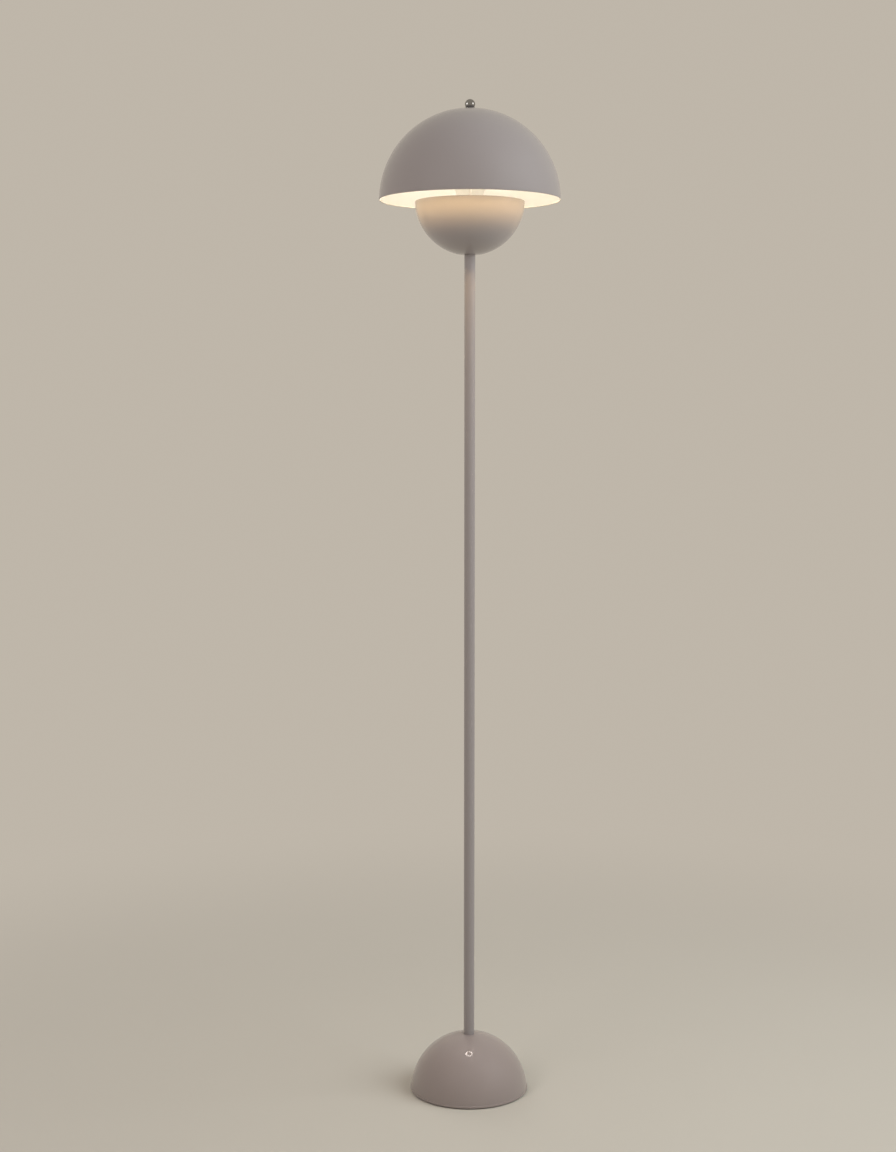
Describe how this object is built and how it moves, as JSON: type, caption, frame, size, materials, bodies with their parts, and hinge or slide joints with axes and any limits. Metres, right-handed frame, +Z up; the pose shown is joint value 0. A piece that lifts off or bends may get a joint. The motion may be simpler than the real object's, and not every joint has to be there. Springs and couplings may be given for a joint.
{
  "type": "mushroom floor lamp",
  "caption": "Free-standing floor lamp: domed shade over an upward bowl with a lit bulb, slim stem and weighted domed base.",
  "frame": {"origin": "centre of the underside, on the floor", "axes": "+Z up along the stem, -Y to the front, +Y to the back where the mains lead enters, +X to the right"},
  "size_m": [0.23, 0.23, 1.2802],
  "materials": {
    "taupe_lacquer": "satin gloss lacquer, mushroom grey",
    "shade_lacquer": "satin gloss lacquer outside, white enamel inside",
    "bowl_lacquer": "satin gloss lacquer outside, white enamel inside",
    "white_enamel": "smooth white enamel",
    "black_foam": "dense foam rubber",
    "zinc_plate": "zinc plated sheet",
    "zinc_steel": "bright zinc plating",
    "grey_iron": "raw grey casting",
    "taupe_rubber": "matt moulded bush",
    "white_nylon": "natural nylon",
    "brass": "plain brass",
    "white_flex": "smooth cable sheath",
    "nickel": "bright nickel plating",
    "white_plastic": "glossy heat resistant plastic",
    "black_glass": "vitreous insulator",
    "bulb_plastic": "fine satin plastic",
    "opal_diffuser": "opal, lit from inside",
    "board_aluminium": "white solder mask on aluminium",
    "led_phosphor": "phosphor gel",
    "green_board": "circuit board",
    "clear_silicone": "translucent silicone",
    "chrome": "polished chrome"
  },
  "bodies": {
    "stand": {"base_foot_pad": "black_foam", "base_bottom_plate": "zinc_plate", "base_plate_screws": "zinc_steel", "base_weight": "grey_iron", "base_dome": "taupe_lacquer", "cable_grommet": "taupe_rubber", "weight_washer": "zinc_steel", "weight_lock_washer": "zinc_steel", "weight_locknut": "zinc_steel", "terminal_block": "white_nylon", "terminal_clamps": "brass", "terminal_block_screw": "zinc_steel", "stem_tube": "taupe_lacquer", "stem_foot": "zinc_steel", "stem_top_bush": "zinc_steel", "inner_lead": "white_flex", "bowl": "bowl_lacquer", "bowl_washer": "zinc_steel", "head_nipple": "zinc_steel", "head_washer": "zinc_steel", "head_locknut": "zinc_steel", "harp_saddle": "white_enamel", "harp_loop": "white_enamel", "harp_sleeves": "nickel", "harp_stud": "nickel", "lampholder_cap": "white_plastic", "lampholder_insert": "white_nylon", "lampholder_contact": "brass", "lampholder_thread": "nickel", "lampholder_skirt": "white_plastic", "shade_seat_washer": "clear_silicone"},
    "shade": {"shade": "shade_lacquer"},
    "finial_washer": {"finial_washer": "clear_silicone"},
    "finial": {"finial": "chrome"},
    "bulb_foot": {"bulb_contact": "zinc_steel", "bulb_insulator": "black_glass"},
    "bulb": {"bulb_cap": "nickel", "bulb_housing": "bulb_plastic", "bulb_diffuser": "opal_diffuser", "bulb_led_board": "board_aluminium", "bulb_leds": "led_phosphor", "bulb_driver": "green_board"}
  },
  "joints": [
    {"name": "shade_lift", "type": "slide", "parent": "stand", "child": "shade", "axis": [0, 0, 1], "range_m": [0, 0.13]},
    {"name": "finial_turn", "type": "hinge", "parent": "shade", "child": "finial_washer", "pos_m": [0, 0, 1.2681], "axis": [0, 0, 1], "range_deg": [0, 3240]},
    {"name": "finial_rise", "type": "slide", "parent": "finial_washer", "child": "finial", "axis": [0, 0, 1], "range_m": [0, 0.00901]},
    {"name": "bulb_rise", "type": "slide", "parent": "stand", "child": "bulb_foot", "axis": [0, 0, 1], "range_m": [0, 0.01816]},
    {"name": "bulb_turn", "type": "hinge", "parent": "bulb_foot", "child": "bulb", "pos_m": [0, 0, 1.15], "axis": [0, 0, 1], "range_deg": [0, 1800]}
  ],
  "couplings": [
    {"joint": "finial_rise", "follows": "finial_turn", "m_per_rad": 0.00015915},
    {"joint": "bulb_rise", "follows": "bulb_turn", "m_per_rad": 0.00057757}
  ]
}
